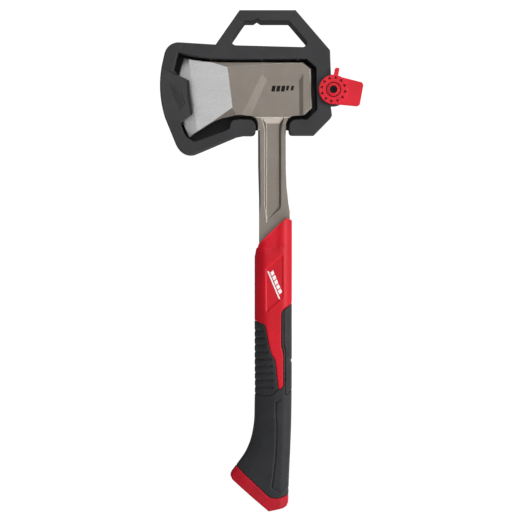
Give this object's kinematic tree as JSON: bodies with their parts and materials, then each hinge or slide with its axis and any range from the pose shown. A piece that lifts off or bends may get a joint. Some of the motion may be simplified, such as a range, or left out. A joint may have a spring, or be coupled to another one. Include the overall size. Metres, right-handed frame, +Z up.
{
  "type": "sheathed camping hatchet",
  "caption": "One-piece forged hatchet with a two-tone soft grip, hanging in a rigid tray sheath with a carry loop and a turning latch.",
  "frame": {"origin": "middle of the flat underside of the carry loop's top bar, in the mid-plane of the hatchet", "axes": "+Z up along the handle towards the loop, +X along the head from the cutting edge to the poll, +Y from the open front of the sheath to its closed back"},
  "size_m": [0.1812, 0.036, 0.4474],
  "materials": {
    "frame_nylon": "fine spark-textured glass-filled nylon",
    "guard_nylon": "smooth moulded nylon",
    "latch_red": "satin moulded acetal",
    "core_red": "satin moulded nylon",
    "cap_red": "satin moulded nylon",
    "soft_grip": "soft matt overmould",
    "forged_steel": "bead-blasted forging with ground cheeks and edge",
    "black_steel": "black oxide",
    "zinc_screws": "zinc plated",
    "spring_steel": "plain spring steel",
    "bush_steel": "turned steel",
    "rivet_steel": "plain steel",
    "brass_insert": "knurled brass"
  },
  "bodies": {
    "sheath": {"sheath_front_shell": "frame_nylon", "sheath_back_cover": "frame_nylon", "shell_screws": "zinc_screws", "blade_edge_guard": "guard_nylon", "latch_pivot_screw": "black_steel", "latch_wave_washer": "spring_steel", "latch_threaded_insert": "brass_insert"},
    "latch": {"latch_lever": "latch_red", "latch_bush": "bush_steel"},
    "hatchet": {"forged_hatchet": "forged_steel", "grip_core_front": "core_red", "grip_core_back": "core_red", "front_grip_pad": "soft_grip", "rear_grip_strap": "soft_grip", "lower_grip_sleeve": "soft_grip", "butt_cap": "cap_red", "tang_rivets": "rivet_steel", "butt_cap_screw": "black_steel"}
  },
  "joints": [
    {"name": "latch_turn", "type": "hinge", "parent": "sheath", "child": "latch", "pos_m": [0.0526, 0, -0.0618], "axis": [0, 1, 0], "range_deg": [0, 180]},
    {"name": "hatchet_tip_out", "type": "hinge", "parent": "sheath", "child": "hatchet", "pos_m": [-0.0739, -0.0095, -0.062], "axis": [0, 0, -1], "range_deg": [0, 60]}
  ]
}
